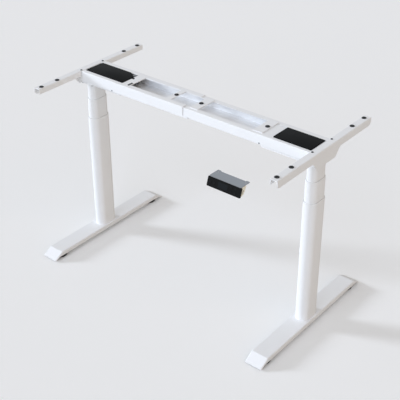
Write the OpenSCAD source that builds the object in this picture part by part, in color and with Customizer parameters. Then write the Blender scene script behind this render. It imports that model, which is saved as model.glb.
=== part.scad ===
// Height-adjustable desk frame: two three-stage columns on T feet, joined by a
// telescoping channel beam that carries two side brackets, two gear motors, the
// control box and a push-button handset. Millimetres, +Z up, +X along the beam.
// The origin is on the floor, at the centre of the whole frame's outline.

/* [Stance] */
// Distance between the centres of the two columns
column_pitch = 1087; // [1060:1:1160]
// Length of each foot, front to back
foot_len = 690; // [670:5:760]
// Length of each of the foot's two sloped ends
foot_slope = 41.5; // [38:0.5:60]
// Width of each foot
foot_w = 75; // [74:0.5:84]
// Height of the foot's top above the floor
foot_h = 33; // [33:0.5:42]

/* [Columns] */
// Length of the outer tube
outer_tube_len = 530; // [510:5:560]
// Width of the outer tube, along the beam
outer_tube_w = 58; // [57:0.5:62]
// Depth of the outer tube, front to back
outer_tube_d = 97; // [94:0.5:99]
// Wall of all three tubes
tube_wall = 1.6; // [1.4:0.1:1.8]
// Space between one tube and the next, all round
tube_gap = 1.9; // [1.7:0.1:2.1]
// Length of the middle tube that shows above the outer tube
middle_show = 87; // [80:1:100]
// Length of the inner tube that shows above the middle tube
inner_show = 75; // [70:1:90]

/* [Beam] */
// Width of the outer channel
channel_w = 140; // [136:1:146]
// Height of the outer channel
channel_h = 44.1; // [43.6:0.1:46]
// Sheet thickness of both channels
channel_t = 2; // [1.6:0.1:2.2]
// Width of the channels' inward lips
lip_w = 25; // [24:0.5:27]
// Clearance between the inner and the outer channel, all round
channel_gap = 0.4; // [0.3:0.05:0.6]
// Depth of the drive pans below the outer channel
pan_drop = 8.5; // [7:0.5:12]

/* [Side brackets] */
// Length of each side bracket, front to back
bracket_len = 600; // [595:5:640]
// Width of the bracket's top strip
bracket_w = 30; // [29:0.5:33]
// Sheet thickness of the brackets
bracket_t = 2.4; // [2:0.1:2.8]
// Height of the bracket's arms
arm_h = 30; // [28:1:34]
// Height of the bracket's deep middle
deep_h = 63.6; // [60:0.2:66]

/* [Handset] */
// Width of the handset's front panel
panel_w = 137; // [132:1:142]
// Height of the front panel along its slope
panel_h = 34; // [33:0.5:38]
// Lean of the front panel from upright
panel_lean = 18.6; // [10:0.2:24]
// Width of the steel plate that hangs the handset
hanger_w = 131; // [128:1:134]
// Depth of that plate, front to back
hanger_d = 48; // [46:1:54]

/* [Hidden] */

// Smoothness of the round parts, and how far each cut runs past its face
$fn = 64;
over = 1;
// Clearance of a piece that seats in another, of a running fit and of a slide
seat_fit = 0.05;
run_fit = 0.05;
slide_fit = 0.3;

// Foot: sheet, edge rounding, tip height, flange depth and the doubler under the column
foot_t = 2.5;
foot_r = 4;
foot_end_r = 4.5;
tip_h = 8;
tip_depth = 3.4;
flange_bottom = 15;
flange_run = 22;
doubler_t = 6;
doubler_len = 160;
slope_a = atan((foot_h - tip_h) / foot_slope);

// Levelling feet: place in from the flat's end, pad, hub, stud and the boss that holds it
leveller_in = 15.5;
pad_d = 66;
pad_h = 11;
pad_chamfer = 2;
hub_d = 26;
hub_gap = 0.5;
stud_d = 10;
boss_d = 18;
boss_len = 14;
stud_end_gap = 1;

// Foot bolts: pitch across and along, shank, hexagon head and washer
bolt_x = 14;
bolt_y = 27;
bolt_d = 8;
bolt_af = 13;
bolt_head_h = 5;
washer_d = 16;
washer_t = 1.5;
bolt_clear = 0.2;

// Nut posts, one in the base and one in the middle tube, and their end plates; each
// drop is measured down from the mouth of the post's own tube
plate_t = 6;
post_d = 28;
post_wall = 2;
post_drop = 97;
carrier_d = 36;
carrier_wall = 2;
carrier_drop = 50;
carrier_hole_gap = 1;
shoulder_h = 6;
shoulder_d = 21;
shoulder_drop = 49;
nut_body = 30;
nut_flange = 4;
nut_lip = 0.5;

// Spindles: the hollow lower one hangs on its collar, the upper one runs through it
lower_spindle_d = 20;
lower_spindle_bore = 15;
lower_spindle_lift = 50;
lower_collar_d = 30;
lower_collar_h = 5;
lower_hub_h = 14;
upper_spindle_d = 14;
upper_spindle_lift = 106;
upper_collar_d = 26;
upper_collar_h = 5;
gearbox_grip = 14;

// Middle and inner tubes: how much shorter than the outer tube, and glides
middle_shorter = 10;
inner_shorter = 25;
glide_len = 30;
top_glide_len = 25;

// Head plate on top of the inner tube, and its bolts
head_t = 6;
head_w = 68;
head_d = 112;
head_bolt_x = 26;
head_bolt_y = 48;
head_bolt_d = 6;
head_bolt_head_d = 10;
head_bolt_head_h = 4;
spindle_hole_d = 20;

// Drive pans under the channel ends: reach in from the column, step in from the
// channel's side, rim, wall and floor
pan_in = 198.5;
pan_step = 10;
pan_rim = 6;
pan_wall = 1.6;
pan_floor = 2;

// Bends of the channels, the step where the bracket lies on the outer one, the inner
// channel's reach past the left column, the outer one's end and tongue, the motor holes
bend_r = 3.5;
step_len = 30;
inner_channel_in = 208.5;
outer_end = 15;
tongue_len = 25;
tongue_h = 10;
tray_in = 191.5;
tray_edge = 5;
tray_end = 7;

// Screws: bracket to beam, width lock, channel web
lip_screw_x = 17;
lip_screw_in = 8;
lip_screw_d = 4.5;
screw_head_d = 8.5;
screw_head_h = 1.4;
screw_socket_d = 4;
screw_socket_h = 0.9;
screw_len = 9;
lock_x = [30, 60];
lock_y = 35;
lock_d = 6;
lock_head_d = 12;
lock_head_h = 5;
lock_tip_gap = 0.1;
web_screw_in = [160.9, 202.1];
web_screw_z = 6;
web_screw_d = 4;
web_head_d = 6;
web_head_h = 1.2;

// Rubber pads: outside size, neck in the sheet, screw hole, places
rubber_d = 18;
rubber_rise = 2;
rubber_neck_d = 10;
rubber_foot_d = 14;
rubber_foot_h = 1.5;
desk_screw_d = 5.5;
rubber_x = 20.2;
rubber_in = [22.1, 106.1];
strip_len = 26;
strip_w = 6;
strip_off = 30;
strip_lap = 8;

// Cross bars: place and width along the beam, pad places, stiffening flanges. The two
// end bars are placed in from their column, the two middle ones from the middle. The left
// end bar has a notch for a plug
bar_left_outer_in = 202;
bar_left_outer_w = 39.5;
bar_left_inner_x = -115.6;
bar_left_inner_w = 23.1;
bar_right_inner_x = 7;
bar_right_inner_w = 37;
bar_right_outer_in = 242.5;
bar_right_outer_w = 41;
bar_flange_h = 3;
bar_flange_gap = 0.6;
bar_notch_len = 11.5;
bar_notch_gap = 0.8;
bar_t = 1.8;
bar_lap = 9.4;
bar_left_pad = 14.1;
bar_right_inner_pad = 14.5;
bar_right_outer_pad = 28;

// Gear motors: gearbox block and motor can
gearbox_w = 48;
gearbox_front = 24;
gearbox_back = 44;
gearbox_r = 6;
motor_d = 42;
motor_len = 118;
motor_y = 22;
motor_cap_d = 30;
motor_cap_len = 5;
motor_neck = 3;

// Control box: flange with its cut-off corner, shallow part over the gearbox, deep part
// beside the motor, socket part at the end, and the two plugs
box_out = 0.5;
box_len = 202;
box_front_lap = 6;
box_back_lap = 1;
box_flange_t = 1.8;
box_cut_x = [42, 21];
box_cut_y = [12, 32];
box_lid_inset = 1.2;
box_shallow_h = 4;
box_deep_in = 5;
box_deep_len = 165;
box_deep_back = 3;
box_deep_h = 36;
box_socket_len = 44;
box_socket_h = 17;
plug_size = [18, 11, 9];
plug_back = [13, 37];
plug_out = [-5, 7];
plug_drop = 0.5;
plug_boot = 4;

// Motor cover and deck plate on the right
cover_out = 5.2;
cover_len = 159.7;
cover_h = 3.8;
cover_wall = 1.6;
cover_r = 3;
cover_step = 1;
deck_in = 200.5;
deck_gap = 0.4;
deck_slot = 2.6;

// Bracket outline: slope of the deep middle, fillets, inner wall, place
deep_slope = 50;
deep_r = 8;
arm_r = 20;
end_r = 15;
bracket_bend_r = 3;
inner_wall_h = 22;
inner_wall_gap = 3;
bracket_out = 38.5;

// Handset: place in from the right column, hanger, case and panel
handset_in = 92;
hanger_t = 1.5;
hanger_front = 408.5;
hanger_notch = 4;
hanger_ear = 14;
hanger_screw_pitch = 112;
hanger_screw_y = 10.5;
hanger_screw_d = 4.4;
case_w = 131;
case_d = 22.7;
case_h = 32.4;
panel_t = 4;
panel_r = 3;
port_len = 14;
port_w = 3.2;
port_depth = 9;
port_back = 9.5;
port_drop = 18.6;
window_w = 38;
window_h = 19;
window_t = 1.2;
window_share = 0.46;
round_button_d = 10;
memory_button_d = 8;
button_rise = 0.9;
button_len = 4;
button_gap = 0.15;
// Places of the buttons, as shares of the panel's width and of its height down
up_shares = [0.085, 0.5];
down_shares = [0.205, 0.5];
memory_shares = [[0.70, 0.27], [0.83, 0.27], [0.70, 0.73], [0.83, 0.73]];
// Back of the case seen from its end, as shares of its depth and of its height down
case_shares = [[0.01, 1], [0.37, 0.9], [0.76, 0.53], [1, 0.13], [1, 0]];

// Levels and places that follow from the sizes above
column_x = column_pitch / 2;
outer_top = foot_h + outer_tube_len;
middle_tube_len = outer_tube_len - middle_shorter;
inner_tube_len = outer_tube_len - inner_shorter;
middle_top = outer_top + middle_show;
middle_bottom = middle_top - middle_tube_len;
inner_top = middle_top + inner_show;
inner_bottom = inner_top - inner_tube_len;
pan_bottom = inner_top + head_t;
outer_floor = pan_bottom + pan_drop;
rail_top = outer_floor + channel_h;
inner_floor = outer_floor + channel_t + channel_gap;
inner_rail_top = rail_top - channel_t - channel_gap;
seat_top = rail_top + rubber_rise;
outer_in_w = outer_tube_w - 2 * tube_wall;
outer_in_d = outer_tube_d - 2 * tube_wall;
middle_w = outer_in_w - 2 * tube_gap;
middle_d = outer_in_d - 2 * tube_gap;
middle_in_w = middle_w - 2 * tube_wall;
middle_in_d = middle_d - 2 * tube_wall;
inner_w = middle_in_w - 2 * tube_gap;
inner_d = middle_in_d - 2 * tube_gap;
inner_channel_w = channel_w - 2 * (channel_t + channel_gap);
lip_edge = channel_w / 2 - lip_w;
inner_lip_edge = inner_channel_w / 2 - lip_w;
pan_half = channel_w / 2 - pan_step;
lip_screw_y = channel_w / 2 - lip_screw_in;
bracket_face = column_x + bracket_out;
channel_reach = bracket_face - bracket_t;
bracket_top = rail_top;
bracket_under = rail_top - bracket_t;
plate_top = foot_h + plate_t;
post_top = outer_top - post_drop;
carrier_base = middle_bottom + plate_t;
carrier_top = middle_top - carrier_drop;
shoulder_top = carrier_top - shoulder_drop;
foot_flat = foot_len - 2 * foot_slope;
leveller_y = foot_flat / 2 - leveller_in;
box_x0 = -column_x - box_out;
box_x1 = box_x0 + box_len;
box_y0 = -lip_edge - box_front_lap;
box_y1 = lip_edge + box_back_lap;
cover_x1 = column_x + cover_out;
cover_x0 = cover_x1 - cover_len;
deck_back = inner_lip_edge - deck_slot;
bar_right_outer_x = column_x - bar_right_outer_in;
right_pad_places = [bar_right_inner_x + bar_right_inner_pad,
    bar_right_outer_x + bar_right_outer_pad];
handset_x = column_x - handset_in;
panel_reach = panel_h * sin(panel_lean);
panel_foot = hanger_front + panel_reach;
beam_y = (panel_foot - foot_len / 2) / 2;
hanger_z = seat_top - hanger_t;

// A flat oval: straight sides and half-round ends
module oval(w, d) {
    square([w, d - w], center = true);
    for (s = [-1, 1]) translate([0, s * (d - w) / 2]) circle(d = w);
}

// A ring of flat-oval section, given its outer and inner sizes
module oval_ring(w, d, in_w, in_d, len) {
    linear_extrude(len) difference() {
        oval(w, d);
        oval(in_w, in_d);
    }
}

// A rectangle with round corners, low corner at the origin
module round_rect(size, r) {
    translate([r, 0]) square([size.x - 2 * r, size.y]);
    translate([0, r]) square([size.x, size.y - 2 * r]);
    for (x = [r, size.x - r], y = [r, size.y - r]) translate([x, y]) circle(r);
}

// Puts a left or right copy at its column; local +x points away from the middle
module at_column(s) {
    translate([s * column_x, beam_y, 0]) {
        if (s < 0) mirror([1, 0, 0]) children();
        else children();
    }
}

module at_beam() translate([0, beam_y, 0]) children();

// Extrudes a section drawn in depth (x) and height (y) along the beam
module along_beam(x0, x1) {
    translate([x0, 0, 0]) rotate([90, 0, 90]) linear_extrude(x1 - x0) children();
}

// Points of an arc round c, from angle a0 to a1
function arc(c, r, a0, a1, n = 8) =
    [for (i = [0:n]) c + r * [cos(a0 + (a1 - a0) * i / n), sin(a0 + (a1 - a0) * i / n)]];

function both_halves(half) =
    concat(half, [for (i = [len(half) - 1:-1:0]) [-half[i].x, half[i].y]]);

// Foot seen from the side: flat top, sloped ends, side flanges rising to the tips
function foot_outline() = let (end = foot_len / 2, low = tip_h - tip_depth)
    both_halves([[end - flange_run, flange_bottom], [end - foot_t, low], [end, low],
        [end, tip_h], [foot_flat / 2, foot_h]]);

// The hollow under its sheet, seen the same way
function foot_hollow() = let (end = foot_len / 2 + over, bend = foot_t * tan(slope_a / 2),
    drop = (end - foot_flat / 2) * tan(slope_a) + foot_t / cos(slope_a))
    both_halves([[end, -over], [end, foot_h - drop],
        [foot_flat / 2 - bend, foot_h - foot_t]]);

// What rounds a long edge of the sheet takes away, for a top face at z = 0
module foot_edge_cut(r) {
    half = foot_w / 2;
    translate([0, foot_len, 0]) rotate([90, 0, 0]) linear_extrude(2 * foot_len)
        polygon(concat([[half - r, over], [half + over, over], [half + over, -r]],
            arc([half - r, -r], r, 0, 90)));
}

module foot() {
    boss_z = foot_h - foot_t - boss_len;
    difference() {
        union() {
            difference() {
                along_beam(-foot_w / 2, foot_w / 2) polygon(foot_outline());
                along_beam(foot_t - foot_w / 2, foot_w / 2 - foot_t) polygon(foot_hollow());
            }
            translate([foot_r - foot_w / 2, -doubler_len / 2, foot_h - foot_t - doubler_t])
                cube([foot_w - 2 * foot_r, doubler_len, doubler_t]);
            for (s = [-1, 1]) translate([0, s * leveller_y, boss_z])
                cylinder(d = boss_d, h = boss_len);
        }
        for (side = [0, 1]) mirror([side, 0, 0]) {
            translate([0, 0, foot_h]) foot_edge_cut(foot_r);
            for (end = [0, 1]) mirror([0, end, 0])
                translate([0, foot_flat / 2, foot_h]) rotate([-slope_a, 0, 0])
                    foot_edge_cut(foot_end_r);
        }
        for (x = [-bolt_x, bolt_x], y = [-bolt_y, bolt_y])
            translate([x, y, foot_h - foot_t - doubler_t - over])
                cylinder(d = bolt_d + bolt_clear, h = foot_t + doubler_t + 2 * over);
        for (s = [-1, 1]) translate([0, s * leveller_y, boss_z - over])
            cylinder(d = stud_d + 2 * run_fit, h = boss_len + over);
    }
}

module foot_bolts() {
    seat_z = foot_h - foot_t - doubler_t;
    for (x = [-bolt_x, bolt_x], y = [-bolt_y, bolt_y]) translate([x, y, 0]) {
        translate([0, 0, seat_z - washer_t]) cylinder(d = washer_d, h = washer_t);
        translate([0, 0, seat_z - washer_t - bolt_head_h])
            cylinder(d = bolt_af / cos(30), h = bolt_head_h, $fn = 6);
        translate([0, 0, seat_z - over]) cylinder(d = bolt_d, h = plate_top - seat_z);
    }
}

module levelling_foot(s) {
    hub_top = foot_h - foot_t - boss_len - hub_gap;
    stud_top = foot_h - foot_t - stud_end_gap;
    translate([0, s * leveller_y, 0]) {
        rotate_extrude() polygon([[0, 0], [pad_d / 2 - pad_chamfer / 2, 0],
            [pad_d / 2, pad_chamfer / 2], [pad_d / 2, pad_h - pad_chamfer],
            [pad_d / 2 - pad_chamfer, pad_h], [hub_d / 2, pad_h], [hub_d / 2, hub_top],
            [0, hub_top]]);
        translate([0, 0, pad_h]) cylinder(d = stud_d, h = stud_top - pad_h);
    }
}

module outer_tube() {
    translate([0, 0, foot_h])
        oval_ring(outer_tube_w, outer_tube_d, outer_in_w, outer_in_d, outer_tube_len);
}

// End plate of the outer tube with the post that carries the lower nut
module base_post() {
    translate([0, 0, foot_h]) difference() {
        union() {
            linear_extrude(plate_t) oval(outer_in_w - 2 * seat_fit, outer_in_d - 2 * seat_fit);
            translate([0, 0, plate_t]) cylinder(d = post_d, h = post_top - plate_top);
        }
        translate([0, 0, plate_t]) cylinder(d = post_d - 2 * post_wall, h = post_top);
        for (x = [-bolt_x, bolt_x], y = [-bolt_y, bolt_y]) translate([x, y, -over])
            cylinder(d = bolt_d + bolt_clear, h = plate_t + 2 * over);
    }
}

// Flanged nut that seats in a post's mouth
module flanged_nut(z, post_in_d, post_out_d, bore_d) {
    translate([0, 0, z]) difference() {
        union() {
            translate([0, 0, -nut_body]) cylinder(d = post_in_d - 2 * seat_fit, h = nut_body);
            cylinder(d = post_out_d - nut_lip, h = nut_flange);
        }
        translate([0, 0, -nut_body - over])
            cylinder(d = bore_d + 2 * run_fit, h = nut_body + nut_flange + 2 * over);
    }
}

module lower_nut() {
    flanged_nut(post_top, post_d - 2 * post_wall, post_d, lower_spindle_d);
}

module outer_glide() {
    translate([0, 0, outer_top - top_glide_len])
        oval_ring(outer_in_w, outer_in_d,
            middle_w + 2 * slide_fit, middle_d + 2 * slide_fit, top_glide_len);
}

module middle_tube() {
    translate([0, 0, middle_bottom])
        oval_ring(middle_w, middle_d, middle_in_w, middle_in_d, middle_tube_len);
}

// End plate of the middle tube with the post that carries the upper nut; the
// post's inner shoulder bears the lower spindle's collar
module middle_post() {
    hole_d = post_d + 2 * carrier_hole_gap;
    in_d = carrier_d - 2 * carrier_wall;
    difference() {
        union() {
            translate([0, 0, middle_bottom]) linear_extrude(plate_t)
                oval(middle_in_w - 2 * seat_fit, middle_in_d - 2 * seat_fit);
            translate([0, 0, carrier_base])
                cylinder(d = carrier_d, h = carrier_top - carrier_base);
        }
        translate([0, 0, middle_bottom - over])
            cylinder(d = hole_d, h = plate_t + 2 * over);
        translate([0, 0, carrier_base])
            cylinder(d = in_d, h = shoulder_top - shoulder_h - carrier_base);
        translate([0, 0, shoulder_top - shoulder_h - over])
            cylinder(d = shoulder_d, h = shoulder_h + 2 * over);
        translate([0, 0, shoulder_top]) cylinder(d = in_d, h = carrier_top);
    }
}

module upper_nut() {
    flanged_nut(carrier_top, carrier_d - 2 * carrier_wall, carrier_d, upper_spindle_d);
}

// A ring round the tube's foot and a ring inside its mouth
module middle_glides() {
    translate([0, 0, middle_bottom])
        oval_ring(outer_in_w - 2 * slide_fit, outer_in_d - 2 * slide_fit,
            middle_w, middle_d, glide_len);
    translate([0, 0, middle_top - top_glide_len])
        oval_ring(middle_in_w, middle_in_d,
            inner_w + 2 * slide_fit, inner_d + 2 * slide_fit, top_glide_len);
}

// Inner tube with its head plate welded on
module inner_tube() {
    translate([0, 0, inner_bottom])
        oval_ring(inner_w, inner_d, inner_w - 2 * tube_wall, inner_d - 2 * tube_wall,
            inner_tube_len);
    translate([0, 0, inner_top]) difference() {
        linear_extrude(head_t) translate([-head_w / 2, -head_d / 2])
            round_rect([head_w, head_d], gearbox_r);
        translate([0, 0, -over]) cylinder(d = spindle_hole_d, h = head_t + 2 * over);
        for (x = [-head_bolt_x, head_bolt_x], y = [-head_bolt_y, head_bolt_y])
            translate([x, y, -over])
                cylinder(d = head_bolt_d + bolt_clear, h = head_t + 2 * over);
    }
}

module inner_glide() {
    translate([0, 0, inner_bottom])
        oval_ring(middle_in_w - 2 * slide_fit, middle_in_d - 2 * slide_fit,
            inner_w, inner_d, glide_len);
}

module lower_spindle() {
    low = middle_bottom + lower_spindle_lift;
    collar_z = shoulder_top + slide_fit;
    len = collar_z + lower_hub_h - low;
    difference() {
        union() {
            translate([0, 0, low]) cylinder(d = lower_spindle_d, h = len);
            translate([0, 0, collar_z]) cylinder(d = lower_collar_d, h = lower_collar_h);
        }
        translate([0, 0, low - over]) cylinder(d = lower_spindle_bore, h = len + 2 * over);
    }
}

module upper_spindle() {
    low = inner_bottom + upper_spindle_lift;
    top = pan_bottom + pan_floor + gearbox_grip - slide_fit;
    translate([0, 0, low]) cylinder(d = upper_spindle_d, h = top - low);
    translate([0, 0, inner_top - slide_fit - upper_collar_h])
        cylinder(d = upper_collar_d, h = upper_collar_h);
}

// Tray under the end of a channel, with a rim that lies under the channel's floor
module drive_pan(top) {
    h = top - pan_bottom;
    out = channel_reach - column_x;
    translate([0, 0, pan_bottom]) difference() {
        union() {
            translate([-pan_in, -pan_half, 0]) cube([pan_in + out, 2 * pan_half, h]);
            translate([-pan_in, -pan_half - pan_rim, h - pan_wall])
                cube([pan_in + out, 2 * (pan_half + pan_rim), pan_wall]);
        }
        translate([pan_wall - pan_in, pan_wall - pan_half, pan_floor])
            cube([pan_in + out - 2 * pan_wall, 2 * (pan_half - pan_wall), h]);
        translate([0, 0, -over]) cylinder(d = spindle_hole_d, h = pan_floor + 2 * over);
        for (x = [-head_bolt_x, head_bolt_x], y = [-head_bolt_y, head_bolt_y])
            translate([x, y, -over])
                cylinder(d = head_bolt_d + bolt_clear, h = pan_floor + 2 * over);
    }
}

// Gearbox over the spindle with its motor lying along the beam
module gear_motor() {
    z0 = pan_bottom + pan_floor;
    top = inner_rail_top - channel_t;
    motor_z = top - over - motor_d / 2;
    translate([0, 0, z0]) difference() {
        linear_extrude(top - z0) translate([-gearbox_w / 2, -gearbox_front])
            round_rect([gearbox_w, gearbox_front + gearbox_back], gearbox_r);
        translate([0, 0, -over])
            cylinder(d = upper_spindle_d + 2 * run_fit, h = gearbox_grip + over);
    }
    translate([-gearbox_w / 2, motor_y, motor_z]) rotate([0, -90, 0]) {
        cylinder(d = motor_cap_d, h = motor_neck);
        translate([0, 0, motor_neck]) cylinder(d = motor_d, h = motor_len);
        translate([0, 0, motor_neck + motor_len]) cylinder(d = motor_cap_d, h = motor_cap_len);
    }
}

// Bracket's outline seen from the side: its back half, then both halves
function bracket_half_outline() =
    let (deep_z = bracket_top - deep_h, arm_z = bracket_top - arm_h,
        rise = deep_h - arm_h, foot_y = pan_half + rise / tan(deep_slope),
        t0 = deep_r * tan(deep_slope / 2), t1 = arm_r * tan(deep_slope / 2))
    concat(
        arc([pan_half - t0, deep_z + deep_r], deep_r, -90, deep_slope - 90),
        arc([foot_y + t1, arm_z - arm_r], arm_r, deep_slope + 90, 90),
        arc([bracket_len / 2 - end_r, arm_z + end_r], end_r, -90, 0),
        [[bracket_len / 2, bracket_top + over]]);

// Folded section: long outer wall, top strip and short inner wall
module bracket_section() {
    in_r = bracket_bend_r - bracket_t;
    difference() {
        union() {
            translate([0, -deep_h]) square([bracket_w, deep_h - bracket_bend_r]);
            translate([bracket_bend_r, -deep_h])
                square([bracket_w - 2 * bracket_bend_r, deep_h]);
            for (x = [bracket_bend_r, bracket_w - bracket_bend_r])
                translate([x, -bracket_bend_r]) circle(bracket_bend_r);
        }
        translate([bracket_t, -deep_h - over])
            square([bracket_w - 2 * bracket_t, deep_h + over - bracket_bend_r]);
        translate([bracket_bend_r, -deep_h - over])
            square([bracket_w - 2 * bracket_bend_r, deep_h + over - bracket_t]);
        for (x = [bracket_bend_r, bracket_w - bracket_bend_r])
            translate([x, -bracket_bend_r]) circle(in_r);
        translate([-over, -deep_h - over])
            square([bracket_t + 2 * over, deep_h - inner_wall_h + over]);
    }
}

module side_bracket() {
    x0 = bracket_out - bracket_w;
    wall_y = channel_w / 2 + inner_wall_gap;
    difference() {
        intersection() {
            translate([x0, bracket_len / 2, bracket_top]) rotate([90, 0, 0])
                linear_extrude(bracket_len) bracket_section();
            along_beam(x0 - over, bracket_out + over)
                polygon(both_halves(bracket_half_outline()));
        }
        translate([x0 - over, -wall_y, bracket_top - deep_h])
            cube([bracket_t + 2 * over, 2 * wall_y, deep_h - bracket_t]);
        for (in = rubber_in, s = [-1, 1])
            translate([rubber_x, s * (bracket_len / 2 - in), bracket_under - over])
                cylinder(d = rubber_neck_d, h = bracket_t + 2 * over);
        for (s = [-1, 1]) translate([lip_screw_x, s * lip_screw_y, bracket_under - over])
            cylinder(d = lip_screw_d + bolt_clear, h = bracket_t + 2 * over);
    }
}

// One rubber pad with its neck through a sheet of the given thickness
module rubber_pad(top, sheet_t) {
    translate([0, 0, top]) difference() {
        union() {
            rotate_extrude() polygon([[0, 0], [rubber_d / 2, 0],
                [rubber_d / 2, rubber_rise - rubber_rise / 4],
                [rubber_d / 2 - rubber_rise / 4, rubber_rise], [0, rubber_rise]]);
            translate([0, 0, -sheet_t]) cylinder(d = rubber_neck_d, h = sheet_t);
            translate([0, 0, -sheet_t - rubber_foot_h])
                cylinder(d = rubber_foot_d, h = rubber_foot_h);
        }
        translate([0, 0, -sheet_t - rubber_foot_h - over])
            cylinder(d = desk_screw_d, h = sheet_t + rubber_foot_h + rubber_rise + 2 * over);
    }
}

module bracket_pads() {
    for (in = rubber_in, s = [-1, 1])
        translate([rubber_x, s * (bracket_len / 2 - in), 0]) rubber_pad(bracket_top, bracket_t);
}

module rubber_pads_left_all() {
    at_column(-1) bracket_pads();
    at_beam() {
        translate([bar_left_inner_x + bar_left_pad, 0, 0]) rubber_pad(rail_top, bar_t);
        translate([strip_off - column_x + bar_left_outer_in, -lip_edge - strip_lap, rail_top])
            linear_extrude(rubber_rise) round_rect([strip_w, strip_len], strip_w / 3);
    }
}

module rubber_pads_right_all() {
    at_column(1) bracket_pads();
    at_beam() for (x = right_pad_places) translate([x, 0, 0]) rubber_pad(rail_top, bracket_t);
}

// Low-headed screw with its head's underside at z = 0 and a round socket
module pan_screw(d, len, head_d, head_h) {
    difference() {
        union() {
            cylinder(d = head_d, h = head_h);
            translate([0, 0, -len]) cylinder(d = d, h = len);
        }
        translate([0, 0, head_h - screw_socket_h])
            cylinder(d = screw_socket_d, h = screw_socket_h + over, $fn = 6);
    }
}

// Screws at one column: two through the bracket's top, four up through the head plate
module column_screws() {
    for (s = [-1, 1]) translate([lip_screw_x, s * lip_screw_y, bracket_top])
        pan_screw(lip_screw_d, screw_len, screw_head_d, screw_head_h);
    for (x = [-head_bolt_x, head_bolt_x], y = [-head_bolt_y, head_bolt_y])
        translate([x, y, inner_top]) rotate([180, 0, 0])
            pan_screw(head_bolt_d, head_t + pan_floor, head_bolt_head_d, head_bolt_head_h);
}

// Two screws low on the front and back webs of a channel
module web_screws(x, half_w, floor_z) {
    for (s = [-1, 1]) translate([x, s * half_w, floor_z + web_screw_z])
        rotate([s > 0 ? -90 : 90, 0, 0])
            pan_screw(web_screw_d, channel_t + over, web_head_d, web_head_h);
}

module frame_screws_left_all() {
    at_column(-1) column_screws();
    at_beam() {
        web_screws(web_screw_in[0] - column_x, channel_w / 2, outer_floor);
        for (x = lock_x, s = [-1, 1]) translate([-x, s * lock_y, outer_floor])
            rotate([180, 0, 0]) pan_screw(lock_d, channel_t + channel_gap - lock_tip_gap,
                lock_head_d, lock_head_h);
    }
}

module frame_screws_right_all() {
    at_column(1) column_screws();
    at_beam() web_screws(column_x - web_screw_in[1], inner_channel_w / 2, inner_floor);
}

// Open-topped channel section with inward lips, floor at z = 0
module channel_section(w, h) {
    r = bend_r;
    difference() {
        translate([-w / 2, 0]) round_rect([w, h], r);
        translate([channel_t - w / 2, channel_t])
            round_rect([w - 2 * channel_t, h - 2 * channel_t], r - channel_t);
        translate([lip_w - w / 2, h / 2]) square([w - 2 * lip_w, h]);
    }
}

// Hole in a channel's floor for the gear motor
module motor_hole(s, floor_z) {
    low = column_x - tray_in;
    len = channel_reach - tray_end - low;
    half = pan_half - tray_edge;
    translate([s > 0 ? low : -low - len, -half, floor_z - over])
        cube([len, 2 * half, channel_t + 2 * over]);
}

module web_holes(x, w, floor_z) {
    translate([x, w, floor_z + web_screw_z]) rotate([90, 0, 0])
        cylinder(d = web_screw_d + bolt_clear, h = 2 * w);
}

// The column's lip screws go through here too
module lip_holes(s, z) {
    for (side = [-1, 1])
        translate([s * (column_x + lip_screw_x), side * lip_screw_y, z - channel_t - over])
            cylinder(d = lip_screw_d + bolt_clear, h = channel_t + 2 * over);
}

module outer_channel_solid() {
    step_x = column_x + bracket_out - step_len - bracket_t;
    difference() {
        union() {
            along_beam(-step_x, -outer_end) translate([0, outer_floor])
                channel_section(channel_w, channel_h);
            along_beam(-channel_reach, -step_x) translate([0, outer_floor])
                channel_section(channel_w, channel_h - bracket_t);
            intersection() {
                along_beam(-outer_end, tongue_len - outer_end) translate([0, outer_floor])
                    channel_section(channel_w, channel_h);
                translate([-outer_end, -channel_w, outer_floor])
                    cube([tongue_len, 2 * channel_w, tongue_h]);
            }
        }
        motor_hole(-1, outer_floor);
        web_holes(web_screw_in[0] - column_x, channel_w, outer_floor);
        lip_holes(-1, bracket_under);
        for (x = lock_x, s = [-1, 1]) translate([-x, s * lock_y, outer_floor - over])
            cylinder(d = lock_d + bolt_clear, h = channel_t + 2 * over);
    }
}

module inner_channel_solid() {
    h = inner_rail_top - inner_floor;
    difference() {
        along_beam(inner_channel_in - column_x, channel_reach) translate([0, inner_floor])
            channel_section(inner_channel_w, h);
        motor_hole(1, inner_floor);
        web_holes(column_x - web_screw_in[1], channel_w, inner_floor);
        lip_holes(1, inner_rail_top);
    }
}

// Bar across the beam with two turned-down edges, starting at x
module cross_bar(x, w, half, t) {
    flange_half = inner_lip_edge - bar_flange_gap;
    translate([x, -half, rail_top - t]) cube([w, 2 * half, t]);
    for (edge = [x, x + w - t]) translate([edge, -flange_half, rail_top - bar_flange_h])
        cube([t, 2 * flange_half, bar_flange_h]);
}

module bar_pad_hole(x, t) {
    translate([x, 0, rail_top - t - over]) cylinder(d = rubber_neck_d, h = t + 2 * over);
}

module left_bars() {
    x = bar_left_outer_in - column_x;
    notch_w = plug_size.y + 2 * bar_notch_gap;
    difference() {
        cross_bar(x, bar_left_outer_w, lip_edge, bar_t);
        translate([x - over, box_y1 - plug_back[1] - notch_w / 2, outer_floor])
            cube([bar_notch_len + over, notch_w, channel_h + over]);
    }
    difference() {
        cross_bar(bar_left_inner_x, bar_left_inner_w, lip_edge, bar_t);
        bar_pad_hole(bar_left_inner_x + bar_left_pad, bar_t);
    }
}

module right_bars() {
    half = inner_lip_edge + bar_lap;
    difference() {
        union() {
            cross_bar(bar_right_inner_x, bar_right_inner_w, half, bracket_t);
            cross_bar(bar_right_outer_x, bar_right_outer_w, half, bracket_t);
        }
        for (x = right_pad_places) bar_pad_hole(x, bracket_t);
    }
}

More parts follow.
